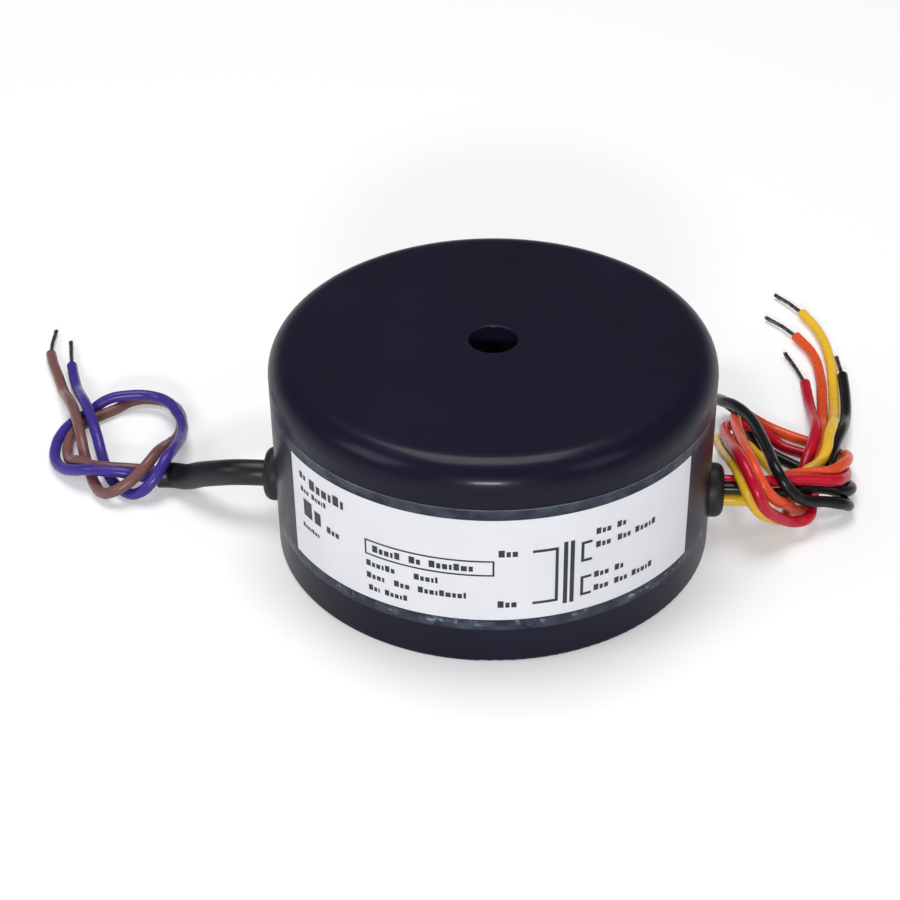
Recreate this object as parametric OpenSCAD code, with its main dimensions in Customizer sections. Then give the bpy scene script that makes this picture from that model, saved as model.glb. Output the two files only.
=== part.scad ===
// Potted toroidal transformer in a round moulded case, with knotted flying leads.
// The origin is the middle of the underside, +Z is up, the grommets lie on the X axis
// and the label faces -Y. The primary leaves at -X in a sleeve, the secondaries at +X.

/* [Case] */
// Outside diameter of the case
case_d = 95; // [88:1:130]
// Overall height
case_h = 48; // [45:1:80]
// Thickness of the side wall
wall = 2; // [1.4:0.1:3]
// Thickness of the closed top
top_wall = 2.2; // [1.6:0.1:3.6]
// Radius of the upper outer edge
top_edge_r = 6; // [2:0.25:8]
// Radius of the lower outer edge
foot_edge_r = 0.8; // [0.2:0.1:1.2]
// Depth of the potting surface inside the lower rim
potting_recess = 0.6; // [0.2:0.1:1.5]

/* [Centre fixing] */
// Clearance hole for the fixing bolt
bolt_hole_d = 6.4; // [5.3:0.1:6.8]
// Outside diameter of the steel compression tube
tube_d = 9; // [8:0.1:10]
// Outside diameter of the moulded centre post
post_d = 14; // [13:0.5:18]
// Counterbore for the bolt head
head_bore_d = 10.4; // [10.2:0.1:12]
// Depth of the counterbore
head_bore_depth = 6.5; // [4:0.5:9]
// Rounding of the counterbore's mouth
head_bore_edge_r = 0.4; // [0.2:0.1:0.6]

/* [Core and windings] */
// Outside diameter of the tape-wound core
core_od = 70; // [60:0.5:74]
// Inside diameter of the core
core_id = 38; // [34:0.5:44]
// Height of the core
core_h = 27; // [20:0.5:31]
// Rounding of the core's edges
core_edge_r = 0.6; // [0.3:0.1:1.2]
// Insulating tape next to the core
core_wrap_t = 0.6; // [0.3:0.1:1]
// Primary winding on the outer side
primary_out_t = 1.2; // [0.6:0.1:1.6]
// Primary winding inside the ring, where its turns crowd
primary_in_t = 2.4; // [1.2:0.1:3]
// Primary winding over the flat faces
primary_face_t = 1.8; // [0.8:0.1:2.4]
// Insulating tape between primary and secondary
barrier_t = 0.5; // [0.3:0.1:0.8]
// Each secondary winding on the outer side
secondary_out_t = 0.8; // [0.5:0.1:1]
// Each secondary winding inside the ring
secondary_in_t = 1.6; // [0.8:0.1:2]
// Each secondary winding over the flat faces
secondary_face_t = 1.2; // [0.6:0.1:1.5]
// Outer tape wrap
outer_wrap_t = 0.4; // [0.2:0.1:0.8]

/* [Grommets] */
// Height of the lead exits above the underside
exit_z = 11; // [9:0.5:14]
// Diameter of the outer flange
flange_d = 12; // [11:0.25:14]
// How far the outer flange stands proud of the case
flange_proud = 3; // [2:0.25:4]
// Radius of the flange's domed shoulder
flange_dome_r = 2; // [1:0.25:2.2]
// Diameter of the neck in the case wall
neck_d = 9.2; // [9:0.1:10]
// Diameter of the inner flange
inner_flange_d = 11.5; // [10.5:0.25:13]
// Thickness of the inner flange
inner_flange_t = 1.5; // [1:0.1:2.5]
// Distance between neighbouring secondary leads
lead_pitch = 3; // [2.9:0.05:3.3]

/* [Leads] */
// Diameter over the insulation of a lead
lead_d = 2.6; // [1.8:0.1:2.6]
// Diameter of the primary sleeve
sleeve_d = 5.9; // [5:0.1:6.2]
// Diameter of the tinned conductor
strand_d = 1; // [0.6:0.1:1.2]

/* [Label] */
// Height of the label
label_h = 25; // [15:0.5:27]
// Height of the label's lower edge
label_z = 11.4; // [10:0.1:14]
// Arc that the label covers, in degrees
label_arc = 128; // [60:1:140]
// Where the label starts, in degrees from +X
label_start = 210; // [206:1:230]
// Thickness of the label
label_t = 0.12; // [0.08:0.01:0.2]
// Border of the clear film above and below the label
film_border = 2.6; // [1:0.1:3.5]
// Arc of clear film past each end of the label, in degrees
film_lap = 14; // [4:1:18]
// Thickness of the clear film over the label
film_t = 0.1; // [0.08:0.01:0.2]

/* [Clearances] */
// Around each lead in its grommet and in the resin
lead_gap = 0.05; // [0.02:0.01:0.1]
// Around each grommet neck in the case wall
neck_gap = 0.05; // [0.02:0.01:0.1]

/* [Hidden] */

round_fn = 96;
tube_sides = 8;
through = 1;                  // how far a cutter runs past what it cuts

case_r = case_d / 2;
cavity_r = case_r - wall;
cavity_top = case_h - top_wall;
tube_h = case_h - head_bore_depth;
exit_x = case_r + flange_proud;

// Growth of the coil outside, inside and over the faces, layer by layer
out_t = [0, core_wrap_t, primary_out_t, barrier_t, secondary_out_t, secondary_out_t, outer_wrap_t];
in_t = [0, core_wrap_t, primary_in_t, barrier_t, secondary_in_t, secondary_in_t, outer_wrap_t];
face_t = [0, core_wrap_t, primary_face_t, barrier_t, secondary_face_t, secondary_face_t, outer_wrap_t];
coil_z = (potting_recess + cavity_top) / 2;

function sum_to(list, i) = i < 0 ? 0 : list[i] + sum_to(list, i - 1);
function layer_or(i) = core_od / 2 + sum_to(out_t, i);
function layer_ir(i) = core_id / 2 - sum_to(in_t, i);
function layer_h(i) = core_h + 2 * sum_to(face_t, i);
function layer_edge(i) = core_edge_r + sum_to(out_t, i) / 2;

core_layer = 0;
core_wrap_layer = 1;
primary_layer = 2;
barrier_layer = 3;
secondary_a_layer = 4;
secondary_b_layer = 5;
outer_wrap_layer = 6;

// ---- Colours ----
case_colour = [0.10, 0.11, 0.15];
tape_colour = [0.93, 0.80, 0.35];
copper = [0.72, 0.38, 0.20];
tin = [0.70, 0.69, 0.66];

// ---- Section helpers ----

// Rectangle from (x0, y0) to (x1, y1) with all four corners rounded to r
module rounded_rect(x0, y0, x1, y1, r) {
    translate([x0 + r, y0]) square([x1 - x0 - 2 * r, y1 - y0]);
    translate([x0, y0 + r]) square([x1 - x0, y1 - y0 - 2 * r]);
    for (x = [x0 + r, x1 - r], y = [y0 + r, y1 - r])
        translate([x, y]) circle(r = r, $fn = round_fn);
}

// Rectangle from the axis to x1 with its upper corner rounded to r and its lower one to r0
module post_section(x1, y0, y1, r, r0) {
    translate([0, y0 + r0]) square([x1, y1 - y0 - r0 - r]);
    translate([0, y0]) square([x1 - max(r, r0), y1 - y0]);
    translate([x1 - r, y1 - r]) circle(r = r, $fn = round_fn);
    translate([x1 - r0, y0 + r0]) circle(r = r0, $fn = round_fn);
    translate([0, y0]) square([x1 - r0, r0]);
}

// Solid of the coil up to the outside of one layer
module coil_solid(i) {
    translate([0, 0, coil_z])
        rotate_extrude($fn = round_fn)
            rounded_rect(layer_ir(i), -layer_h(i) / 2, layer_or(i), layer_h(i) / 2, layer_edge(i));
}

// One layer of the coil, cut where leads pass to the layers below it
module coil_layer(i) {
    difference() {
        coil_solid(i);
        coil_solid(i - 1);
        lead_channels(i);
    }
}

// ---- Lead exits ----
// Corners of the secondary grommet's square of holes, as red, orange, yellow and black
lead_corners = [[1, 1], [1, -1], [-1, -1], [-1, 1]];
lead_layers = [secondary_a_layer, secondary_b_layer, secondary_b_layer, secondary_a_layer];

// Radial holes for the sleeve and for those leads that pass through layer i
module lead_channels(i) {
    if (i > primary_layer)
        channel(-1, [0, 0], sleeve_d, primary_layer);
    for (k = [0:3])
        if (i > lead_layers[k])
            channel(1, lead_corners[k] * lead_pitch / 2, lead_d, lead_layers[k]);
}

// Clearance for one tube of diameter d, from the outside of a layer to past the grommet
module channel(side, offset, d, from_layer) {
    start = layer_or(from_layer);
    translate([0, offset[0], exit_z + offset[1]]) rotate([0, 90 * side, 0])
        translate([0, 0, start])
            cylinder(d = d + 2 * lead_gap, h = exit_x + through - start, $fn = round_fn);
}

// ---- Case and centre fixing ----
module case_body() {
    rotate_extrude($fn = round_fn)
        post_section(case_r, 0, case_h, top_edge_r, foot_edge_r);
}

module case_cavity() {
    inner_edge_r = max(top_edge_r - wall, 0.5);
    rotate_extrude($fn = round_fn)
        difference() {
            union() {
                post_section(cavity_r, 0, cavity_top, inner_edge_r, 0.01);
                translate([0, -through]) square([cavity_r, through + 0.1]);
            }
            translate([0, -through]) square([post_d / 2, case_h + through]);
        }
}

// Mouth of the counterbore: the corner left over by a ring of round section
module bore_mouth() {
    r = head_bore_edge_r;
    translate([0, 0, case_h - r])
        rotate_extrude($fn = round_fn)
            difference() {
                square([head_bore_d / 2 + r, r + through]);
                translate([head_bore_d / 2 + r, 0]) circle(r = r, $fn = round_fn);
            }
}

module case() {
    color(case_colour)
        difference() {
            case_body();
            case_cavity();
            translate([0, 0, -through]) cylinder(d = tube_d, h = tube_h + through, $fn = round_fn);
            translate([0, 0, tube_h]) cylinder(d = head_bore_d, h = head_bore_depth + through, $fn = round_fn);
            bore_mouth();
            for (side = [-1, 1])
                translate([0, 0, exit_z]) rotate([0, 90 * side, 0])
                    translate([0, 0, cavity_r - wall])
                        cylinder(d = neck_d + 2 * neck_gap, h = 3 * wall, $fn = round_fn);
        }
}

module centre_tube() {
    color([0.62, 0.62, 0.60])
        difference() {
            cylinder(d = tube_d, h = tube_h, $fn = round_fn);
            translate([0, 0, -through]) cylinder(d = bolt_hole_d, h = tube_h + 2 * through, $fn = round_fn);
        }
}

// ---- Core and windings ----
module core() {
    color([0.45, 0.46, 0.48]) coil_solid(core_layer);
}

module core_wrap() {
    color(tape_colour) coil_layer(core_wrap_layer);
}

module primary_winding() {
    color(copper) coil_layer(primary_layer);
}

module winding_barrier() {
    color(tape_colour) coil_layer(barrier_layer);
}

module secondary_winding_a() {
    color(copper) coil_layer(secondary_a_layer);
}

module secondary_winding_b() {
    color(copper) coil_layer(secondary_b_layer);
}

module outer_wrap() {
    color(tape_colour) coil_layer(outer_wrap_layer);
}

module potting_resin() {
    color([0.07, 0.07, 0.08])
        difference() {
            intersection() {
                case_cavity();
                translate([0, 0, potting_recess]) cylinder(r = cavity_r + through, h = case_h, $fn = round_fn);
            }
            coil_solid(outer_wrap_layer);
            lead_channels(outer_wrap_layer + 1);
            for (side = [-1, 1]) inner_flange(side);
        }
}

// ---- Grommets ----
module outer_flange(side) {
    difference() {
        translate([0, 0, exit_z]) rotate([0, 90 * side, 0])
            rotate_extrude($fn = round_fn)
                post_section(flange_d / 2, cavity_r, exit_x, flange_dome_r, 0.01);
        cylinder(r = case_r, h = case_h, $fn = round_fn);
    }
}

module inner_flange(side) {
    intersection() {
        translate([0, 0, exit_z]) rotate([0, 90 * side, 0])
            translate([0, 0, cavity_r - inner_flange_t])
                cylinder(d = inner_flange_d, h = inner_flange_t, $fn = round_fn);
        cylinder(r = cavity_r, h = case_h, $fn = round_fn);
    }
}

module grommet(side) {
    difference() {
        union() {
            outer_flange(side);
            inner_flange(side);
            translate([0, 0, exit_z]) rotate([0, 90 * side, 0])
                translate([0, 0, cavity_r - inner_flange_t])
                    cylinder(d = neck_d, h = wall + inner_flange_t, $fn = round_fn);
        }
        lead_channels(outer_wrap_layer + 1);
    }
}

module primary_grommet() {
    color([0.09, 0.10, 0.12]) grommet(-1);
}

module secondary_grommet() {
    color([0.09, 0.10, 0.12]) grommet(1);
}

// ---- Label ----
module band(r, t, z, h, start, arc) {
    rotate([0, 0, start])
        rotate_extrude(angle = arc, $fn = 4 * round_fn)
            translate([r, z]) square([t, h]);
}

module label() {
    color([0.93, 0.93, 0.95]) band(case_r, label_t, label_z, label_h, label_start, label_arc);
}

module label_film() {
    color([0.55, 0.62, 0.68, 0.45])
        difference() {
            band(case_r, label_t + film_t, label_z - film_border, label_h + 2 * film_border,
                label_start - film_lap, label_arc + 2 * film_lap);
            band(case_r - through, label_t + through, label_z, label_h, label_start, label_arc);
        }
}

// ---- Leads ----
function unit(v) = v / norm(v);

// Direction of the path at point i
function heading(path, i) =
    unit(path[min(i + 1, len(path) - 1)] - path[max(i - 1, 0)]);

// Ring of points round point i of the path, kept level so that it never twists
function ring(path, i, r) =
    let (dir = heading(path, i),
         side = unit(cross([0, 0, 1], dir)),
         up = cross(dir, side))
    [for (k = [0:tube_sides - 1])
        path[i] + r * (cos(360 * k / tube_sides) * side + sin(360 * k / tube_sides) * up)];

// Closed tube of diameter d along a path
module swept_tube(path, d) {
    rings = len(path);
    points = [for (i = [0:rings - 1]) each ring(path, i, d / 2)];
    sides = [for (i = [0:rings - 2], k = [0:tube_sides - 1])
        let (a = i * tube_sides + k, b = i * tube_sides + (k + 1) % tube_sides)
        [a, a + tube_sides, b + tube_sides, b]];
    near_end = [[for (k = [0:tube_sides - 1]) k]];
    far_end = [[for (k = [tube_sides - 1:-1:0]) (rings - 1) * tube_sides + k]];
    polyhedron(points = points, faces = concat(near_end, sides, far_end), convexity = 10);
}

module lead(route, colour) {
    color(colour) swept_tube(route, lead_d);
}

module tip(route, colour = tin) {
    color(colour) swept_tube(route, strand_d);
}

// ---- Routes ----
// Points that the leads follow, from their exits to their tips; they rest on the floor,
// on each other or on the sleeve.
// Sleeve, from the primary grommet down to the floor
sleeve_route = [
    [-50.5, 0, 11], [-54, 0, 11], [-58, 0.5, 10.5], [-62, 2, 9], [-66, 4, 7], [-70, 6.4, 4.4],
    [-73.5, 8.5, 3.1], [-77, 8.5, 3.1]
];

// Primary leads: an overhand knot, then two tails that lie back
violet_route = [
    [-77.05, 7.2, 3.1], [-79, 7.2, 3.1], [-82, 6.7, 4.1], [-85, 6.3, 5], [-89, 6.3, 5.2],
    [-93, 6.8, 5], [-97, 8.6, 3.4], [-100.5, 11.5, 1.9], [-103, 15.5, 1.4], [-104, 20, 1.4],
    [-104, 25, 1.4], [-102.6, 30, 1.4], [-99.5, 34.3, 1.6], [-95.5, 37.2, 3.6], [-90.5, 38.6, 4.2],
    [-85, 39, 4], [-80.6, 36.8, 4], [-77.4, 32.4, 4], [-75.2, 27.4, 4.2], [-74.2, 22, 5],
    [-73.9, 17, 6.4], [-74, 12.2, 7.8], [-74.6, 8, 8.4], [-75.8, 4.8, 7], [-77.6, 2.8, 4.8],
    [-80.2, 2.2, 2.6], [-83, 3.2, 1.4], [-86, 5.6, 1.4], [-88.6, 9, 1.4], [-90.6, 13.2, 1.4],
    [-92.6, 17.8, 2], [-94.6, 22.6, 3.6], [-97, 28, 4.5], [-99.6, 33.6, 4.6], [-102.2, 39, 3.4],
    [-104.6, 44.4, 1.6], [-106.8, 50, 1.4], [-108.5, 55, 1.4]
];

brown_route = [
    [-77.05, 9.9, 3.1], [-79.4, 9.9, 3.1], [-81.8, 9.5, 3.7], [-84.5, 9, 4.2], [-88.5, 8.9, 4.4],
    [-92.5, 9.4, 4.4], [-96, 11.2, 4.2], [-98.8, 13.8, 2.4], [-100.4, 17.5, 1.4],
    [-101.3, 21.5, 1.4], [-101.2, 25.6, 1.4], [-99.8, 29.6, 1.4], [-97, 33.2, 1.4],
    [-93.4, 36.6, 1.4], [-89.8, 40.6, 1.4], [-85, 41.4, 1.4], [-80.4, 39.4, 1.4],
    [-77.4, 35.2, 1.4], [-76.2, 30, 1.4], [-76.1, 24.8, 2.2], [-76.5, 19.6, 4.2],
    [-76.9, 14.8, 6.4], [-77.3, 10.4, 8.1], [-78.4, 6.6, 8], [-80.4, 3.8, 6.6], [-83, 1.8, 5],
    [-86, 1, 3.4], [-89, 2.6, 1.8], [-91.4, 6, 1.4], [-93.6, 10.6, 1.4], [-95.8, 15.6, 1.8],
    [-97.9, 21, 3.8], [-100, 26.6, 4.4], [-102.3, 32, 4.4], [-105, 37.5, 3.4], [-107.6, 43, 1.6],
    [-110.5, 49.5, 1.4], [-113.5, 56, 1.4], [-115, 60, 1.4]
];

// Secondary leads: out of the grommet, once round and through the knot, then back
red_route = [
    [50.5, 1.5, 12.5], [54, 1.5, 12.5], [57.5, 1.8, 12.3], [61, 3, 11.7], [65.8, 5.6, 10.3],
    [70.8, 7, 9.5], [75.4, 8.2, 8.6], [78, 11.8, 6.8], [79.1, 15.8, 4.8], [79.1, 20, 3.6],
    [77.6, 24.2, 1.5], [74, 27, 1.4], [70, 28.8, 1.4], [66.2, 30.8, 1.4], [62.8, 33, 2.8],
    [59.2, 34.6, 4.3], [55.3, 34, 5], [52.6, 30.8, 6.8], [51.8, 25.5, 9], [52, 18, 12],
    [52.6, 10.5, 15.2], [53.6, 3.5, 18], [55.2, -2.4, 17.9], [57.2, -6.2, 15.4], [59.2, -6.8, 11.6],
    [61.6, -5.2, 8.4], [64.2, -3.2, 5.8], [66.6, -1.8, 4.4], [69, -0.6, 4.2], [70.5, 3, 4.2],
    [69.9, 7.8, 4.2], [69.1, 11.6, 2.1], [69.1, 14.2, 1.4], [69.3, 17.4, 2.6], [70.5, 21, 4.8],
    [72.4, 27, 6], [73.5, 34, 5.6], [73.6, 42, 3], [73.4, 50, 1.4], [73, 58.5, 1.4]
];

orange_route = [
    [50.5, 1.5, 9.5], [54, 1.5, 9.5], [57.5, 2.9, 9.4], [60.8, 5.8, 9.3], [65.2, 8.8, 9.1],
    [70.2, 10.4, 8.9], [75, 11.6, 8.8], [77.8, 15, 8.2], [79.5, 19, 6.8], [79.9, 23.6, 4.8],
    [79.4, 28, 1.6], [76, 31.2, 1.4], [71.8, 33.4, 1.4], [67.5, 35.8, 1.4], [63.4, 38, 1.8],
    [59.4, 38.6, 3.8], [56.6, 37.4, 6.4], [54.8, 33.6, 8.4], [54.4, 28, 10], [54.5, 22, 11.8],
    [54.9, 15.5, 13.8], [55.5, 9, 15.6], [56.5, 3, 16.6], [58, -1.4, 15.4], [60, -2.8, 12.8],
    [62.2, -1.8, 10], [64.6, 0.8, 7.2], [66.8, 3.6, 3.6], [69.3, 6.6, 1.4], [71.6, 9.6, 1.4],
    [71.9, 13.4, 1.4], [72, 17, 2.4], [73.4, 21.2, 4.3], [74.8, 28, 4.2], [75.7, 35, 3.6],
    [76.1, 42, 1.8], [76.6, 51, 1.4], [76.9, 61, 1.4], [75.8, 71.5, 1.4], [72.2, 80, 1.4]
];

yellow_route = [
    [50.5, -1.5, 9.5], [54, -1.5, 9.5], [57.5, -0.4, 8.7], [60.1, 2.8, 7.3], [62.2, 7, 5.4],
    [63.6, 11.4, 3.2], [64.2, 15.6, 1.6], [63.6, 20, 1.4], [61.8, 24, 1.4], [59.4, 28, 1.4],
    [57.2, 31.4, 1.4], [53.6, 32.4, 2.2], [51.2, 29.6, 4.2], [50.6, 25, 6.4], [50.8, 20, 8.4],
    [51.2, 14, 11], [52, 8, 13.6], [53, 2.8, 15.2], [54.4, -2.6, 15.2], [56.2, -4.9, 12.2],
    [58.4, -4.6, 8.8], [61, -2.4, 5.8], [63.6, 1, 2.8], [65.4, 4.8, 1.4], [66.3, 8.6, 1.6],
    [66.8, 12.2, 3.9], [69.8, 15.6, 5.2], [73.4, 18.6, 6.3], [75, 22.4, 7], [76, 28, 7],
    [77.6, 35, 5.6], [78.6, 42, 2.8], [79.4, 50, 1.4], [79.8, 59, 1.4], [79.8, 71, 1.4],
    [78, 82.5, 1.4], [74.5, 91.5, 1.4]
];

black_route = [
    [50.5, -1.5, 12.5], [54, -1.5, 12.5], [57.5, -1.3, 11.6], [60.8, 0.6, 9.9], [64.4, 4.1, 7.9],
    [68.2, 7.2, 7], [73.4, 8.2, 6.4], [78.2, 9.8, 4.6], [80.3, 13.6, 2.9], [79.3, 17.2, 1.5],
    [75.9, 19.6, 1.4], [71.4, 21.4, 1.4], [67, 24.6, 1.4], [63, 28.2, 1.4], [60.4, 32, 1.4],
    [58.4, 36.6, 1.4], [57.6, 40.8, 1.4], [56, 44, 2], [53, 45, 4], [51, 42.4, 6.6], [51.4, 38, 9],
    [54, 32.8, 11.5], [57.2, 26, 12.8], [59.4, 17.4, 13.6], [60.9, 9.6, 14.2], [62.4, 2.8, 14.1],
    [65, 0.6, 11.2], [68.6, 1.2, 8.1], [73.6, 3.4, 6.3], [78, 5.4, 4.3], [79.3, 8.6, 1.8],
    [77.6, 12.2, 1.4], [76.6, 15.2, 2.3], [75.9, 18.6, 4.3], [76.7, 24, 4.4], [77.9, 28.8, 4.5],
    [80, 35.5, 3.8], [81.6, 43.5, 1.6], [82.4, 53, 1.4], [82.5, 62.5, 1.4]
];

// Bare conductors, from the end of each lead
violet_tip_route = [
    [-108.5, 55, 1.4], [-110, 60.5, 1.2], [-111.5, 66.5, 1]
];

brown_tip_route = [
    [-115, 60, 1.4], [-116, 65.5, 1.2], [-116.5, 71.5, 1]
];

red_tip_route = [
    [73, 58.5, 1.4], [71.2, 65.5, 1.2], [69, 72.5, 1]
];

orange_tip_route = [
    [72.2, 80, 1.4], [69, 85, 1.2], [65, 89.5, 1]
];

yellow_tip_route = [
    [74.5, 91.5, 1.4], [71.5, 96.5, 1.2], [68, 101, 1]
];

black_tip_route = [
    [82.5, 62.5, 1.4], [82.1, 67, 1.2], [81.8, 71.5, 1]
];

// Straight start inside the case, from just outside a layer of the coil to the exit
function from_coil(route, side, layer) =
    concat([[side * (layer_or(layer) + 2 * lead_gap), route[0][1], route[0][2]]], route);

module primary_sleeve() {
    color([0.10, 0.13, 0.16]) swept_tube(from_coil(sleeve_route, -1, primary_layer), sleeve_d);
}

module violet_lead() {
    lead(violet_route, [0.30, 0.22, 0.60]);
}

module brown_lead() {
    lead(brown_route, [0.50, 0.33, 0.31]);
}

module red_lead() {
    lead(from_coil(red_route, 1, secondary_a_layer), [0.75, 0.10, 0.18]);
}

module orange_lead() {
    lead(from_coil(orange_route, 1, secondary_b_layer), [0.90, 0.33, 0.16]);
}

module yellow_lead() {
    lead(from_coil(yellow_route, 1, secondary_b_layer), [0.93, 0.76, 0.25]);
}

module black_lead() {
    lead(from_coil(black_route, 1, secondary_a_layer), [0.08, 0.08, 0.09]);
}

module violet_tip() {
    tip(violet_tip_route);
}

module brown_tip() {
    tip(brown_tip_route);
}

module red_tip() {
    tip(red_tip_route);
}

module orange_tip() {
    tip(orange_tip_route);
}

module yellow_tip() {
    tip(yellow_tip_route);
}

module black_tip() {
    tip(black_tip_route);
}

case();
centre_tube();
core();
core_wrap();
primary_winding();
winding_barrier();
secondary_winding_a();
secondary_winding_b();
outer_wrap();
potting_resin();
primary_grommet();
secondary_grommet();
label();
label_film();
primary_sleeve();
violet_lead();
brown_lead();
red_lead();
orange_lead();
yellow_lead();
black_lead();
violet_tip();
brown_tip();
red_tip();
orange_tip();
yellow_tip();
black_tip();
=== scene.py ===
import math

import bmesh
import bpy
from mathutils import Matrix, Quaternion, Vector


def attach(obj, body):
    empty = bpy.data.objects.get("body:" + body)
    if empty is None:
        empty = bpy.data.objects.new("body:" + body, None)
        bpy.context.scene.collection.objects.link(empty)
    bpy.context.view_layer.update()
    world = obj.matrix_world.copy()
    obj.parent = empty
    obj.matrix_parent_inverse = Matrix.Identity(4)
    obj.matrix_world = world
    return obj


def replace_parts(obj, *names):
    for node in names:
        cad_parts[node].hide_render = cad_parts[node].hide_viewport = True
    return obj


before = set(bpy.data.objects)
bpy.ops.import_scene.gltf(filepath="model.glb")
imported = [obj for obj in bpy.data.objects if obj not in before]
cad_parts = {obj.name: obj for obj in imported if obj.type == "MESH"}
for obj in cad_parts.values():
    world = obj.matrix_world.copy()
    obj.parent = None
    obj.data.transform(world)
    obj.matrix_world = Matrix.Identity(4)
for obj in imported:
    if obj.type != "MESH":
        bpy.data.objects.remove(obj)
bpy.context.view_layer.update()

mm = 0.001


# one function turns sRGB hex colours into Blender's linear ones
def linear(hexText):
    channels = [int(hexText[i:i + 2], 16) / 255 for i in (1, 3, 5)]
    return [c / 12.92 if c <= 0.04045 else ((c + 0.055) / 1.055) ** 2.4 for c in channels] + [1]


# one node with its settings, the sockets that feed it and, for a ramp, its stops
def addNode(tree, kind, settings=None, links=None, stops=()):
    node = tree.nodes.new(kind)
    for name, value in (settings or {}).items():
        if isinstance(name, int) or name in node.inputs:
            node.inputs[name].default_value = value
        else:
            setattr(node, name, value)
    for name, source in (links or {}).items():
        tree.links.new(source, node.inputs[name])
    for i, (spot, colour) in enumerate(stops):
        node.color_ramp.elements[i].position = spot
        node.color_ramp.elements[i].color = linear(colour)
    return node


def newFinish(name, settings):
    finish = bpy.data.materials.new(name)
    finish.use_nodes = True
    tree = finish.node_tree
    tree.nodes.clear()
    surface = addNode(tree, "ShaderNodeBsdfPrincipled", settings)
    addNode(tree, "ShaderNodeOutputMaterial", links={"Surface": surface.outputs[0]})
    place = addNode(tree, "ShaderNodeTexCoord").outputs["Object"]
    return finish, tree, surface, place


# clouds of one size in mm, stretched along an axis where asked
def mottle(tree, place, sizeMm, detail=3.0, roughness=0.55, stretch=(1, 1, 1)):
    spread = addNode(tree, "ShaderNodeMapping", {"Scale": stretch}, {"Vector": place})
    settings = {"Scale": 1000 / sizeMm, "Detail": detail, "Roughness": roughness}
    return addNode(tree, "ShaderNodeTexNoise", settings, {"Vector": spread.outputs[0]}).outputs["Fac"]


# a pattern each for the tint (its stops), the gloss (low, high) and the relief (depth in mm, strength)
def dress(tree, surface, tint=None, gloss=None, relief=None):
    if tint:
        pattern, stops = tint
        ramp = addNode(tree, "ShaderNodeValToRGB", links={0: pattern}, stops=stops)
        tree.links.new(ramp.outputs["Color"], surface.inputs["Base Color"])
    if gloss:
        pattern, low, high = gloss
        spread = addNode(tree, "ShaderNodeMapRange", {"To Min": low, "To Max": high}, {"Value": pattern})
        tree.links.new(spread.outputs[0], surface.inputs["Roughness"])
    if relief:
        pattern, depthMm, strength = relief
        settings = {"Strength": strength, "Distance": depthMm * mm}
        bump = addNode(tree, "ShaderNodeBump", settings, {"Height": pattern})
        tree.links.new(bump.outputs[0], surface.inputs["Normal"])


print("camera")
camera = {"aim": (0, 0, 20), "azimuth": 3.6, "elevation": 35.3, "distance": 430,
          "lens": 78.94, "shift": (-0.0481, -0.0022)}


def placeCamera():
    data = bpy.data.cameras.new("camera")
    data.sensor_width = 36
    data.lens = camera["lens"]
    data.shift_x, data.shift_y = camera["shift"]
    data.clip_start = 0.01
    data.clip_end = 20
    viewer = bpy.data.objects.new("camera", data)
    bpy.context.scene.collection.objects.link(viewer)
    turn, rise = math.radians(camera["azimuth"]), math.radians(camera["elevation"])
    back = Vector((math.sin(turn) * math.cos(rise), -math.cos(turn) * math.cos(rise), math.sin(rise)))
    viewer.location = (Vector(camera["aim"]) + back * camera["distance"]) * mm
    viewer.rotation_euler = (-back).to_track_quat("-Z", "Y").to_euler()
    bpy.context.scene.camera = viewer


placeCamera()

print("leads")
sleeve = {
    "diameter": 5.9, "length": 41.5, "wall": 0.25,
    "route": [
        (-39.6, 0, 11), (-45, 0, 11), (-50.5, 0, 11), (-54, 0, 11), (-58, 0.5, 10.5),
        (-62, 2, 9), (-66, 4, 7), (-70, 6.4, 4.4), (-73.5, 8.5, 3.1), (-77, 8.5, 3.1)]}

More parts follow.
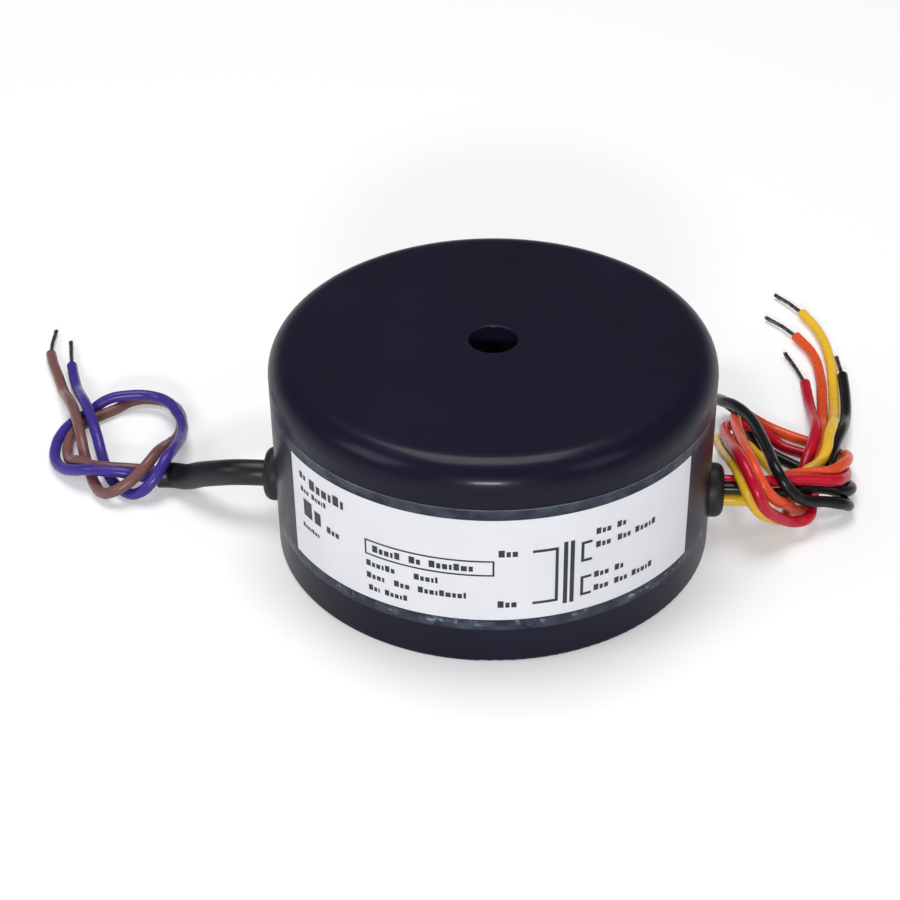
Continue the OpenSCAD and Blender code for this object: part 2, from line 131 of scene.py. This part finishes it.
leads = {
    "violet": {
        "length": 181, "colour": "#43328e", "shade": "#30246e", "route": [
            (-72.5, 7.2, 3.4), (-77.05, 7.2, 3.1), (-79, 7.2, 3.1), (-82, 6.7, 4.1), (-85, 6.3, 5),
            (-89, 6.3, 5.2), (-93, 6.8, 5), (-97, 8.6, 3.4), (-100.5, 11.5, 1.9),
            (-103, 15.5, 1.4), (-104, 20, 1.4), (-104, 25, 1.4), (-102.6, 30, 1.4),
            (-99.5, 34.3, 1.6), (-95.5, 37.2, 3.6), (-90.5, 38.6, 4.2), (-85, 39, 4),
            (-80.6, 36.8, 4), (-77.4, 32.4, 4), (-75.2, 27.4, 4.2), (-74.2, 22, 5),
            (-73.9, 17, 6.4), (-74, 12.2, 7.8), (-74.6, 8, 8.4), (-75.8, 4.8, 7),
            (-77.6, 2.8, 4.8), (-80.2, 2.2, 2.6), (-83, 3.2, 1.4), (-86, 5.6, 1.4),
            (-88.6, 9, 1.4), (-90.6, 13.2, 1.4), (-92.6, 17.8, 2), (-94.6, 22.6, 3.6),
            (-97, 28, 4.5), (-99.6, 33.6, 4.6), (-102.2, 39, 3.4), (-104.6, 44.4, 1.6),
            (-106.8, 50, 1.4), (-108.5, 55, 1.4)],
        "tip": [(-108.5, 55, 1.4), (-110, 60.5, 1.2), (-111.5, 66.5, 1)]},
    "brown": {
        "length": 183, "colour": "#7a5350", "shade": "#583a3a", "route": [
            (-72.5, 9.9, 3.4), (-77.05, 9.9, 3.1), (-79.4, 9.9, 3.1), (-81.8, 9.5, 3.7),
            (-84.5, 9, 4.2), (-88.5, 8.9, 4.4), (-92.5, 9.4, 4.4), (-96, 11.2, 4.2),
            (-98.8, 13.8, 2.4), (-100.4, 17.5, 1.4), (-101.3, 21.5, 1.4), (-101.2, 25.6, 1.4),
            (-99.8, 29.6, 1.4), (-97, 33.2, 1.4), (-93.4, 36.6, 1.4), (-89.8, 40.6, 1.4),
            (-85, 41.4, 1.4), (-80.4, 39.4, 1.4), (-77.4, 35.2, 1.4), (-76.2, 30, 1.4),
            (-76.1, 24.8, 2.2), (-76.5, 19.6, 4.2), (-76.9, 14.8, 6.4), (-77.3, 10.4, 8.1),
            (-78.4, 6.6, 8), (-80.4, 3.8, 6.6), (-83, 1.8, 5), (-86, 1, 3.4), (-89, 2.6, 1.8),
            (-91.4, 6, 1.4), (-93.6, 10.6, 1.4), (-95.8, 15.6, 1.8), (-97.9, 21, 3.8),
            (-100, 26.6, 4.4), (-102.3, 32, 4.4), (-105, 37.5, 3.4), (-107.6, 43, 1.6),
            (-110.5, 49.5, 1.4), (-113.5, 56, 1.4), (-115, 60, 1.4)],
        "tip": [(-115, 60, 1.4), (-116, 65.5, 1.2), (-116.5, 71.5, 1)]},
    "red": {
        "length": 209, "colour": "#c8102e", "shade": "#9c0c26", "route": [
            (39.6, 1.5, 12.5), (45, 1.5, 12.5), (50.5, 1.5, 12.5), (54, 1.5, 12.5),
            (57.5, 1.8, 12.3), (61, 3, 11.7), (65.8, 5.6, 10.3), (70.8, 7, 9.5),
            (75.4, 8.2, 8.6), (78, 11.8, 6.8), (79.1, 15.8, 4.8), (79.1, 20, 3.6),
            (77.6, 24.2, 1.5), (74, 27, 1.4), (70, 28.8, 1.4), (66.2, 30.8, 1.4),
            (62.8, 33, 2.8), (59.2, 34.6, 4.3), (55.3, 34, 5), (52.6, 30.8, 6.8),
            (51.8, 25.5, 9), (52, 18, 12), (52.6, 10.5, 15.2), (53.6, 3.5, 18),
            (55.2, -2.4, 17.9), (57.2, -6.2, 15.4), (59.2, -6.8, 11.6), (61.6, -5.2, 8.4),
            (64.2, -3.2, 5.8), (66.6, -1.8, 4.4), (69, -0.6, 4.2), (70.5, 3, 4.2),
            (69.9, 7.8, 4.2), (69.1, 11.6, 2.1), (69.1, 14.2, 1.4), (69.3, 17.4, 2.6),
            (70.5, 21, 4.8), (72.4, 27, 6), (73.5, 34, 5.6), (73.6, 42, 3), (73.4, 50, 1.4),
            (73, 58.5, 1.4)],
        "tip": [(73, 58.5, 1.4), (71.2, 65.5, 1.2), (69, 72.5, 1)]},
    "orange": {
        "length": 225, "colour": "#e8552b", "shade": "#c03c1c", "route": [
            (39.6, 1.5, 9.5), (45, 1.5, 9.5), (50.5, 1.5, 9.5), (54, 1.5, 9.5),
            (57.5, 2.9, 9.4), (60.8, 5.8, 9.3), (65.2, 8.8, 9.1), (70.2, 10.4, 8.9),
            (75, 11.6, 8.8), (77.8, 15, 8.2), (79.5, 19, 6.8), (79.9, 23.6, 4.8),
            (79.4, 28, 1.6), (76, 31.2, 1.4), (71.8, 33.4, 1.4), (67.5, 35.8, 1.4),
            (63.4, 38, 1.8), (59.4, 38.6, 3.8), (56.6, 37.4, 6.4), (54.8, 33.6, 8.4),
            (54.4, 28, 10), (54.5, 22, 11.8), (54.9, 15.5, 13.8), (55.5, 9, 15.6),
            (56.5, 3, 16.6), (58, -1.4, 15.4), (60, -2.8, 12.8), (62.2, -1.8, 10),
            (64.6, 0.8, 7.2), (66.8, 3.6, 3.6), (69.3, 6.6, 1.4), (71.6, 9.6, 1.4),
            (71.9, 13.4, 1.4), (72, 17, 2.4), (73.4, 21.2, 4.3), (74.8, 28, 4.2),
            (75.7, 35, 3.6), (76.1, 42, 1.8), (76.6, 51, 1.4), (76.9, 61, 1.4),
            (75.8, 71.5, 1.4), (72.2, 80, 1.4)],
        "tip": [(72.2, 80, 1.4), (69, 85, 1.2), (65, 89.5, 1)]},
    "yellow": {
        "length": 214, "colour": "#f4c433", "shade": "#dca92a", "route": [
            (39.6, -1.5, 9.5), (45, -1.5, 9.5), (50.5, -1.5, 9.5), (54, -1.5, 9.5),
            (57.5, -0.4, 8.7), (60.1, 2.8, 7.3), (62.2, 7, 5.4), (63.6, 11.4, 3.2),
            (64.2, 15.6, 1.6), (63.6, 20, 1.4), (61.8, 24, 1.4), (59.4, 28, 1.4),
            (57.2, 31.4, 1.4), (53.6, 32.4, 2.2), (51.2, 29.6, 4.2), (50.6, 25, 6.4),
            (50.8, 20, 8.4), (51.2, 14, 11), (52, 8, 13.6), (53, 2.8, 15.2),
            (54.4, -2.6, 15.2), (56.2, -4.9, 12.2), (58.4, -4.6, 8.8), (61, -2.4, 5.8),
            (63.6, 1, 2.8), (65.4, 4.8, 1.4), (66.3, 8.6, 1.6), (66.8, 12.2, 3.9),
            (69.8, 15.6, 5.2), (73.4, 18.6, 6.3), (75, 22.4, 7), (76, 28, 7), (77.6, 35, 5.6),
            (78.6, 42, 2.8), (79.4, 50, 1.4), (79.8, 59, 1.4), (79.8, 71, 1.4),
            (78, 82.5, 1.4), (74.5, 91.5, 1.4)],
        "tip": [(74.5, 91.5, 1.4), (71.5, 96.5, 1.2), (68, 101, 1)]},
    "black": {
        "length": 222, "colour": "#131316", "shade": "#08080a", "route": [
            (39.6, -1.5, 12.5), (45, -1.5, 12.5), (50.5, -1.5, 12.5), (54, -1.5, 12.5),
            (57.5, -1.3, 11.6), (60.8, 0.6, 9.9), (64.4, 4.1, 7.9), (68.2, 7.2, 7),
            (73.4, 8.2, 6.4), (78.2, 9.8, 4.6), (80.3, 13.6, 2.9), (79.3, 17.2, 1.5),
            (75.9, 19.6, 1.4), (71.4, 21.4, 1.4), (67, 24.6, 1.4), (63, 28.2, 1.4),
            (60.4, 32, 1.4), (58.4, 36.6, 1.4), (57.6, 40.8, 1.4), (56, 44, 2), (53, 45, 4),
            (51, 42.4, 6.6), (51.4, 38, 9), (54, 32.8, 11.5), (57.2, 26, 12.8),
            (59.4, 17.4, 13.6), (60.9, 9.6, 14.2), (62.4, 2.8, 14.1), (65, 0.6, 11.2),
            (68.6, 1.2, 8.1), (73.6, 3.4, 6.3), (78, 5.4, 4.3), (79.3, 8.6, 1.8),
            (77.6, 12.2, 1.4), (76.6, 15.2, 2.3), (75.9, 18.6, 4.3), (76.7, 24, 4.4),
            (77.9, 28.8, 4.5), (80, 35.5, 3.8), (81.6, 43.5, 1.6), (82.4, 53, 1.4),
            (82.5, 62.5, 1.4)],
        "tip": [(82.5, 62.5, 1.4), (82.1, 67, 1.2), (81.8, 71.5, 1)]}}
insulation = {"diameter": 2.6}


# one spline through the route's points, its handles kept off the floor
def drawRoute(name, points, diameter):
    line = bpy.data.curves.new(name, "CURVE")
    line.dimensions = "3D"
    line.resolution_u = 8
    line.bevel_depth = diameter / 2 * mm
    line.bevel_resolution = 6
    line.use_fill_caps = True
    spline = line.splines.new("BEZIER")
    spline.bezier_points.add(len(points) - 1)
    for knot, spot in zip(spline.bezier_points, points):
        knot.co = Vector(spot) * mm
        knot.handle_left_type = "AUTO"
        knot.handle_right_type = "AUTO"
    piece = bpy.data.objects.new(name, line)
    bpy.context.scene.collection.objects.link(piece)
    bpy.context.view_layer.update()
    for knot in spline.bezier_points:
        sides = knot.handle_left.copy(), knot.handle_right.copy()
        knot.handle_left_type = "FREE"
        knot.handle_right_type = "FREE"
        for side in sides:
            side.z = max(side.z, diameter / 2 * mm)
        knot.handle_left, knot.handle_right = sides
    return piece


# pvc extruded over the strands: soft gloss, a shade darker where it was handled
def makeLeadFinish(name, colour, shade):
    finish, tree, surface, place = newFinish(f"extruded_pvc_{name}", {"Specular IOR Level": 0.3})
    dress(tree, surface, (mottle(tree, place, 14, 2, 0.5), [(0.0, shade), (0.5, colour)]),
          (mottle(tree, place, 4, 2), 0.22, 0.34), (mottle(tree, place, 5, 1), 0.008, 0.2))
    return finish


# soft pvc sleeving: duller than the leads, with a faint orange peel
def makeSleeveFinish():
    finish, tree, surface, place = newFinish("extruded_pvc_sleeve", {"Specular IOR Level": 0.45})
    dress(tree, surface, (mottle(tree, place, 6, 4), [(0.3, "#07090d"), (0.7, "#10131a")]),
          (mottle(tree, place, 1.6, 3), 0.3, 0.5), (mottle(tree, place, 1.3, 3), 0.05, 0.5))
    return finish


# drawn copper with a dulled tin dip: dark grey, the copper showing through in places
def makeTinnedFinish():
    finish, tree, surface, place = newFinish("tinned_copper_strand", {"Metallic": 1.0})
    dress(tree, surface, (mottle(tree, place, 1.4, 4), [(0.35, "#4a3d36"), (0.6, "#6f6b68")]),
          (mottle(tree, place, 0.6, 2), 0.28, 0.5), (mottle(tree, place, 0.25, 2), 0.01, 0.4))
    return finish


strand = {"count": 6, "diameter": 0.34, "turns": 1.6, "steps": 16, "tucked": 1.2,
          "spread": 0.98, "uneven": 0.05, "frayFrom": 0.6, "fray": 1.2}


# six strands laid round a seventh along the bared end
def twistStrands(name, points, finish):
    line = bpy.data.curves.new(name, "CURVE")
    line.dimensions = "3D"
    line.bevel_depth = strand["diameter"] / 2 * mm
    line.bevel_resolution = 3
    line.use_fill_caps = True
    line.resolution_u = 3
    first, middle, last = [Vector(p) for p in points]
    start = first - (middle - first).normalized() * strand["tucked"]
    steps = strand["steps"]
    for k in range(strand["count"] + 1):
        spline = line.splines.new("POLY")
        spline.points.add(steps)
        for i in range(steps + 1):
            t = i / steps
            centre = start.lerp(middle, 2 * t) if t < 0.5 else middle.lerp(last, 2 * t - 1)
            along = ((middle - start) if t < 0.5 else (last - middle)).normalized()
            spread = strand["diameter"] * (strand["spread"] + strand["uneven"] * (k % 3) * t * t)
            if k == 0:
                spread = 0  # the seventh runs straight up the middle
            if k == strand["count"] and t > strand["frayFrom"]:
                spread *= 1 + strand["fray"] * (t - strand["frayFrom"])
            side = along.cross(Vector((0, 0, 1))).normalized()
            side = Quaternion(along, math.tau * (k / strand["count"] + strand["turns"] * t)) @ side
            spot = (centre + side * spread) * mm
            spot.z = max(spot.z, strand["diameter"] / 2 * mm)
            spline.points[i].co = (*spot, 1)
    line.materials.append(finish)
    piece = bpy.data.objects.new(name, line)
    bpy.context.scene.collection.objects.link(piece)
    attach(piece, "root")
    return piece


def makeLeads():
    cover = drawRoute("primary_sleeve_tube", sleeve["route"], sleeve["diameter"])
    cover.data.use_fill_caps = False
    hollow = cover.modifiers.new("wall", "SOLIDIFY")
    hollow.thickness = sleeve["wall"] * mm
    hollow.offset = -1
    cover.data.materials.append(makeSleeveFinish())
    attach(cover, "root")
    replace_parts(cover, "primary_sleeve")
    tinned = makeTinnedFinish()
    for colour, lead in leads.items():
        piece = drawRoute(f"{colour}_insulation", lead["route"], insulation["diameter"])
        piece.data.materials.append(makeLeadFinish(colour, lead["colour"], lead["shade"]))
        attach(piece, "root")
        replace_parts(piece, f"{colour}_lead")
        strands = twistStrands(f"{colour}_strands", lead["tip"], tinned)
        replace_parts(strands, f"{colour}_tip")


makeLeads()

print("finishes")


def paint(finish, *names):
    for name in names:
        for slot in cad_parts[name].material_slots:
            slot.material = finish


# glass filled nylon from a spark eroded mould: near black blue, satin, faint flow and rubs
def makeCaseFinish():
    settings = {"Specular IOR Level": 0.08, "Coat Weight": 0.15, "Coat Roughness": 0.17}
    finish, tree, surface, place = newFinish("moulded_nylon_case", settings)
    flow = mottle(tree, place, 26, 5, 0.6, (1, 0.35, 1))
    rubs = mottle(tree, place, 5, 6, 0.7, (0.25, 1, 1))
    sparkGrain = mottle(tree, place, 0.35, 3)
    dress(tree, surface, (flow, [(0.3, "#131222"), (0.7, "#19182b")]), (rubs, 0.3, 0.44),
          (sparkGrain, 0.012, 0.6))
    return finish


# cast epoxy, dark, self levelled with a few trapped bubbles
def makeResinFinish():
    settings = {"Specular IOR Level": 0.5, "Coat Weight": 0.3, "Coat Roughness": 0.08}
    finish, tree, surface, place = newFinish("cast_epoxy_resin", settings)
    bubbles = addNode(tree, "ShaderNodeTexVoronoi", {"Scale": 1000 / 6}, {"Vector": place})
    settings = {"interpolation_type": "SMOOTHSTEP", "From Min": 0.03, "From Max": 0.12}
    dips = addNode(tree, "ShaderNodeMapRange", settings, {"Value": bubbles.outputs["Distance"]})
    links = {0: dips.outputs[0], 1: mottle(tree, place, 20, 2)}
    height = addNode(tree, "ShaderNodeMath", {"operation": "ADD"}, links)
    dress(tree, surface, (mottle(tree, place, 14, 4), [(0.3, "#131316"), (0.7, "#211f20")]),
          (mottle(tree, place, 8, 3), 0.16, 0.34), (height.outputs[0], 0.2, 0.7))
    return finish


# rolled steel tube under a zinc plate with its faint yellow passivation
def makeZincFinish():
    finish, tree, surface, place = newFinish("zinc_plated_steel", {"Metallic": 1.0})
    streaks = mottle(tree, place, 2, 3, 0.6, (1, 1, 0.1))
    dress(tree, surface, (mottle(tree, place, 4, 4), [(0.3, "#8d9096"), (0.7, "#b9b8b0")]),
          (streaks, 0.25, 0.45), (streaks, 0.01, 0.4))
    return finish


# moulded rubber, matt where the mould was blasted
def makeGrommetFinish():
    finish, tree, surface, place = newFinish("moulded_rubber_grommet", {"Specular IOR Level": 0.35})
    dress(tree, surface, (mottle(tree, place, 3, 3), [(0.3, "#121216"), (0.7, "#1d1d22")]),
          (mottle(tree, place, 1, 3), 0.4, 0.6), (mottle(tree, place, 0.4, 3), 0.02, 0.6))
    return finish


# coiled silicon steel strip, its edges showing as close rings, drawn coarser than the strip
def makeCoreFinish():
    finish, tree, surface, place = newFinish("coiled_silicon_steel", {"Metallic": 1.0})
    settings = {"wave_type": "RINGS", "rings_direction": "Z", "Scale": 1000 / 3.2, "Distortion": 0.6}
    strip = addNode(tree, "ShaderNodeTexWave", settings, {"Vector": place}).outputs["Fac"]
    dress(tree, surface, (strip, [(0.2, "#5d6066"), (0.8, "#8f9298")]), (strip, 0.3, 0.5),
          (strip, 0.05, 0.5))
    return finish


# crossed wraps of clear polyester tape, straw coloured in layers
def makeTapeFinish():
    settings = {"Specular IOR Level": 0.5, "Roughness": 0.25}
    finish, tree, surface, place = newFinish("wrapped_polyester_tape", settings)
    settings = {"Scale": 1000 / 30, "Distortion": 1.5}
    turns = addNode(tree, "ShaderNodeTexWave", settings, {"Vector": place}).outputs["Fac"]
    dress(tree, surface, (turns, [(0.2, "#b9a06a"), (0.8, "#d9c48e")]), relief=(turns, 0.06, 0.6))
    return finish


# enamelled round wire wound side by side, so the coil reads as fine radial ribs
def makeCopperFinish():
    settings = {"Metallic": 0.85, "Roughness": 0.28, "Coat Weight": 0.4}
    finish, tree, surface, place = newFinish("enamelled_copper_wire", settings)
    turns = addNode(tree, "ShaderNodeTexGradient", {"gradient_type": "RADIAL"}, {"Vector": place})
    settings = {"operation": "MULTIPLY", 1: 420}  # half as many wires side by side round the ring
    wires = addNode(tree, "ShaderNodeMath", settings, {0: turns.outputs["Fac"]})
    settings = {"operation": "PINGPONG", 1: 1.0}
    ribs = addNode(tree, "ShaderNodeMath", settings, {0: wires.outputs[0]}).outputs[0]
    dress(tree, surface, (ribs, [(0.1, "#6b2f16"), (0.7, "#c0673a")]), relief=(ribs, 0.15, 0.8))
    return finish


paint(makeCaseFinish(), "case")
paint(makeZincFinish(), "centre_tube")
paint(makeResinFinish(), "potting_resin")
paint(makeGrommetFinish(), "primary_grommet", "secondary_grommet")
paint(makeCoreFinish(), "core")
paint(makeTapeFinish(), "core_wrap", "winding_barrier", "outer_wrap")
paint(makeCopperFinish(), "primary_winding", "secondary_winding_a", "secondary_winding_b")

print("label")
label = {"radius": 47.5, "start": 214, "arc": 117, "low": 11.4, "high": 36.4, "proud": 0.12,
         "cells": (220, 8)}


# printed white polyester, satin, with the faintest ripple from being pulled round the wall
def makeLabelFinish():
    settings = {"Specular IOR Level": 0.4, "Coat Weight": 0.25, "Coat Roughness": 0.12}
    finish, tree, surface, place = newFinish("printed_polyester_label", settings)
    dress(tree, surface, (mottle(tree, place, 18, 4), [(0.3, "#e6e7ec"), (0.7, "#eeeff3")]),
          (mottle(tree, place, 5, 3), 0.3, 0.45), (mottle(tree, place, 7, 2), 0.03, 0.5))
    return finish


film = {"start": 202, "arc": 141, "low": 8.8, "high": 39, "proud": 0.19, "cells": (280, 60),
        "clear": 0.025}


# clear film: bright over the label, hazy and patchy where it bridges the moulded texture, with a painted
# highlight along its top edge
def makeFilmFinish():
    finish, tree, surface, place = newFinish("clear_polyester_film", {"Specular IOR Level": 0.5})
    height = addNode(tree, "ShaderNodeSeparateXYZ", links={0: place}).outputs["Z"]
    bands = {}  # each fades from its first value to its last between two heights in mm
    for name, low, high, first, last in (
            ("below", label["low"] - 0.6, label["low"] + 0.2, 1, 0),
            ("above", label["high"] - 0.1, label["high"] + 0.4, 0, 1),
            ("underLabel", label["low"] - 1.4, label["low"] + 1, 1, 0),
            ("offEdge", film["low"] + 0.4, film["low"] + 1.8, 0, 1),
            # the rim band shows the film's pale tint along its top edge: a painted highlight where the
            # edge would catch the light
            ("rim", film["high"] - 0.3, film["high"] - 0.1, 0, 0.3)):
        settings = {"interpolation_type": "SMOOTHSTEP", "From Min": low * mm, "From Max": high * mm,
                    "To Min": first, "To Max": last}
        bands[name] = addNode(tree, "ShaderNodeMapRange", settings, {"Value": height}).outputs[0]
    settings = {"interpolation_type": "SMOOTHSTEP", "From Min": 0.35, "From Max": 0.65,
                "To Min": 0.05, "To Max": 0.2}
    patches = addNode(tree, "ShaderNodeMapRange", settings, {"Value": mottle(tree, place, 3.6, 5, 0.6)})
    settings = {"interpolation_type": "SMOOTHSTEP", "From Min": 0.55, "From Max": 0.68,
                "To Min": 0, "To Max": 0.55}
    blisters = addNode(tree, "ShaderNodeMapRange", settings, {"Value": mottle(tree, place, 2.2, 3)})
    links = {0: bands["below"], 1: bands["above"]}
    border = addNode(tree, "ShaderNodeMath", {"operation": "MAXIMUM"}, links)
    links = {0: bands["underLabel"], 1: bands["offEdge"]}
    nearEdge = addNode(tree, "ShaderNodeMath", {"operation": "MULTIPLY"}, links)
    # real blisters near the lower edge, plus the painted highlight along the top edge
    links = {0: nearEdge.outputs[0], 1: blisters.outputs[0], 2: bands["rim"]}
    blisters_and_painted_rim = addNode(tree, "ShaderNodeMath", {"operation": "MULTIPLY_ADD"}, links)
    links = {0: border.outputs[0], 1: patches.outputs[0], 2: blisters_and_painted_rim.outputs[0]}
    haze = addNode(tree, "ShaderNodeMath", {"operation": "MULTIPLY_ADD"}, links)
    settings = {"operation": "MAXIMUM", 1: film["clear"]}
    shown = addNode(tree, "ShaderNodeMath", settings, {0: haze.outputs[0]})
    tree.links.new(shown.outputs[0], surface.inputs["Alpha"])
    dress(tree, surface, (mottle(tree, place, 6, 3), [(0.3, "#66788e"), (0.7, "#a3b3c6")]),
          (mottle(tree, place, 4, 3), 0.12, 0.3), (mottle(tree, place, 3, 3), 0.06, 0.6))
    return finish


# generic flat marks, in mm along the label and up from its lower edge: x, y, width, height
printed = {
    "ink": "#1d1d24", "proud": 0.15, "cell": 1.2,
    "blocks": (0.72, 0.5, 0.62, 0.34, 0.66), "gap": 0.2, "low": 0.76,  # shares of a bar's height
    "leftOver": 0.3,
    "bars": [
        (3.2, 20.6, 2.6, 1.6), (6.8, 19.6, 10.4, 2.5), (3.4, 17.3, 3.0, 1.3), (7.4, 17.3, 4.6, 1.3),
        (4.2, 11.6, 6.4, 4.2), (12.0, 11.4, 4.2, 1.6), (3.6, 8.3, 6.2, 1.1),
        (24.2, 12.3, 6.6, 1.7), (32.4, 12.3, 2.6, 1.7), (36.6, 12.3, 9.4, 1.7),
        (22.6, 8.4, 6.6, 1.5), (33.4, 8.4, 5.0, 1.5),
        (22.6, 5.3, 4.6, 1.5), (29.0, 5.3, 3.8, 1.5), (34.2, 5.3, 10.4, 1.5),
        (23.0, 2.2, 2.6, 1.4), (26.8, 2.2, 5.0, 1.4),
        (50.6, 16.0, 4.0, 1.7), (50.4, 3.2, 4.4, 1.7),
        (70.6, 18.2, 3.6, 1.5), (75.4, 18.2, 2.6, 1.5),
        (70.6, 14.9, 3.8, 1.5), (75.6, 14.9, 3.2, 1.5), (80.0, 14.9, 5.6, 1.5),
        (70.4, 7.4, 3.6, 1.5), (75.2, 7.4, 2.6, 1.5),
        (70.4, 4.0, 3.6, 1.5), (75.2, 4.0, 3.2, 1.5), (79.6, 4.0, 5.6, 1.5)],
    "boxes": [(22.4, 11.2, 27.4, 3.9, 0.4)],
    "rules": [
        (57.4, 16.6, 5.2, 0.65), (57.4, 3.6, 5.2, 0.65), (62.0, 3.6, 0.65, 13.6),
        (63.7, 2.6, 0.9, 15.6), (65.1, 2.6, 0.9, 15.6),
        (67.4, 3.6, 0.65, 4.9), (67.4, 12.2, 0.65, 5.0),
        (67.4, 16.6, 2.4, 0.65), (67.4, 12.2, 2.4, 0.65),
        (67.4, 7.9, 2.4, 0.65), (67.4, 3.6, 2.4, 0.65)]}


# a flat sheet is bent round the wall: x runs along it from its start angle, y up from the floor
def wrapRound(sheet, name, start, radius, finish):
    for vert in sheet.verts:
        turn = math.radians(start) + vert.co.x / radius
        vert.co = Vector((radius * math.cos(turn), radius * math.sin(turn), vert.co.y)) * mm
    bmesh.ops.recalc_face_normals(sheet, faces=sheet.faces)
    if sheet.faces[0].normal.dot(sheet.faces[0].calc_center_median() * Vector((1, 1, 0))) < 0:
        bmesh.ops.reverse_faces(sheet, faces=sheet.faces)
    for face in sheet.faces:
        face.smooth = True
    mesh = bpy.data.meshes.new(name)
    sheet.to_mesh(mesh)
    sheet.free()
    mesh.materials.append(finish)
    piece = bpy.data.objects.new(name, mesh)
    bpy.context.scene.collection.objects.link(piece)
    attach(piece, "root")
    return piece


def addPatch(sheet, x, y, wide, tall, cellsX, cellsY):
    made = bmesh.ops.create_grid(sheet, x_segments=cellsX, y_segments=cellsY, size=0.5)
    bmesh.ops.scale(sheet, vec=(wide, tall, 1), verts=made["verts"])
    bmesh.ops.translate(sheet, vec=(x + wide / 2, y + tall / 2, 0), verts=made["verts"])


def makeSheet(name, cut, finish):
    radius = label["radius"] + cut["proud"]
    sheet = bmesh.new()
    wide, tall = math.radians(cut["arc"]) * radius, cut["high"] - cut["low"]
    addPatch(sheet, 0, cut["low"], wide, tall, *cut["cells"])
    return wrapRound(sheet, name, cut["start"], radius, finish)


# dense matt ink from a transfer ribbon, a little broken up
def makeInkFinish():
    settings = {"Specular IOR Level": 0.3, "Roughness": 0.45}
    finish, tree, surface, place = newFinish("thermal_transfer_ink", settings)
    dress(tree, surface, (mottle(tree, place, 0.5, 3), [(0.3, printed["ink"]), (0.75, "#3c3c44")]))
    return finish


def printLabel():
    sheet = bmesh.new()
    marks = list(printed["rules"])
    for x, y, wide, tall, line in printed["boxes"]:
        marks += [(x, y, wide, line), (x, y + tall - line, wide, line),
                  (x, y, line, tall), (x + wide - line, y, line, tall)]
    for x, y, wide, tall in printed["bars"]:
        end, i = x + wide, 0
        while x < end - printed["leftOver"]:
            block = printed["blocks"][i % len(printed["blocks"])] * tall
            marks.append((x, y, min(block, end - x), tall * (printed["low"] if i % 4 else 1)))
            x, i = x + block + printed["gap"] * tall, i + 1
    for x, y, wide, tall in marks:
        addPatch(sheet, x, y + label["low"], wide, tall, max(1, round(wide / printed["cell"])), 1)
    radius = label["radius"] + printed["proud"]
    wrapRound(sheet, "label_print", label["start"], radius, makeInkFinish())


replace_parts(makeSheet("label_sheet", label, makeLabelFinish()), "label")
printLabel()
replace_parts(makeSheet("label_film_sheet", film, makeFilmFinish()), "label_film")

print("studio")
studio = {
    "floorSize": 6.0, "floorColour": "#dededf", "floorGlow": 0.32, "floorDrop": 0.1,
    "roomColour": "#f4f6fa", "horizon": 0.62, "overhead": 0.12, "fade": (0.04, 0.26),
    "lamps": {
        "front_softbox": {"at": (30, -1180, 440), "size": (250, 100), "watts": 7.4},
        "left_softbox": {"at": (-900, -450, 800), "size": (500, 500), "watts": 3.0},
        "right_softbox": {"at": (900, -500, 800), "size": (500, 500), "watts": 1.4},
        "top_softbox": {"at": (-60, 260, 1120), "size": (640, 640), "watts": 8.0}}}


def makeFloor():
    finish = bpy.data.materials.new("pale_paper_floor")
    finish.use_nodes = True
    tree = finish.node_tree
    tree.nodes.clear()
    paper = addNode(tree, "ShaderNodeBsdfDiffuse", {"Color": linear(studio["floorColour"])})
    path = addNode(tree, "ShaderNodeLightPath")
    seen = path.outputs["Is Camera Ray"]
    for ray in ("Is Glossy Ray", "Is Transmission Ray"):
        links = {0: seen, 1: path.outputs[ray]}
        seen = addNode(tree, "ShaderNodeMath", {"operation": "MAXIMUM"}, links).outputs[0]
    settings = {"operation": "MULTIPLY", 1: studio["floorGlow"]}
    strength = addNode(tree, "ShaderNodeMath", settings, {0: seen}).outputs[0]
    glow = addNode(tree, "ShaderNodeEmission", links={"Strength": strength})
    both = addNode(tree, "ShaderNodeAddShader", links={0: paper.outputs[0], 1: glow.outputs[0]})
    addNode(tree, "ShaderNodeOutputMaterial", links={"Surface": both.outputs[0]})
    plate = bmesh.new()
    bmesh.ops.create_grid(plate, x_segments=1, y_segments=1, size=studio["floorSize"] / 2)
    mesh = bpy.data.meshes.new("floor")
    plate.to_mesh(mesh)
    plate.free()
    mesh.materials.append(finish)
    floor = bpy.data.objects.new("floor", mesh)
    floor.location.z = -studio["floorDrop"] * mm
    bpy.context.scene.collection.objects.link(floor)


def makeLamps():
    for name, lamp in studio["lamps"].items():
        data = bpy.data.lights.new(name, "AREA")
        data.shape = "RECTANGLE"
        data.size, data.size_y = lamp["size"][0] * mm, lamp["size"][1] * mm
        data.energy = lamp["watts"]
        box = bpy.data.objects.new(name, data)
        box.location = Vector(lamp["at"]) * mm
        box.rotation_euler = (-box.location).to_track_quat("-Z", "Y").to_euler()
        bpy.context.scene.collection.objects.link(box)


# the room is pale at the horizon and dimmer overhead
def makeRoom():
    world = bpy.data.worlds.new("room")
    world.use_nodes = True
    tree = world.node_tree
    tree.nodes.clear()
    way = addNode(tree, "ShaderNodeTexCoord").outputs["Generated"]
    rise = addNode(tree, "ShaderNodeSeparateXYZ", links={0: way}).outputs["Z"]
    settings = {"interpolation_type": "SMOOTHSTEP", "From Min": studio["fade"][0],
                "From Max": studio["fade"][1], "To Min": studio["horizon"], "To Max": studio["overhead"]}
    strength = addNode(tree, "ShaderNodeMapRange", settings, {"Value": rise}).outputs[0]
    settings = {"Color": linear(studio["roomColour"])}
    room = addNode(tree, "ShaderNodeBackground", settings, {"Strength": strength})
    addNode(tree, "ShaderNodeOutputWorld", links={"Surface": room.outputs[0]})
    bpy.context.scene.world = world


makeFloor()
makeLamps()
makeRoom()
bpy.context.scene.view_settings.view_transform = "Standard"
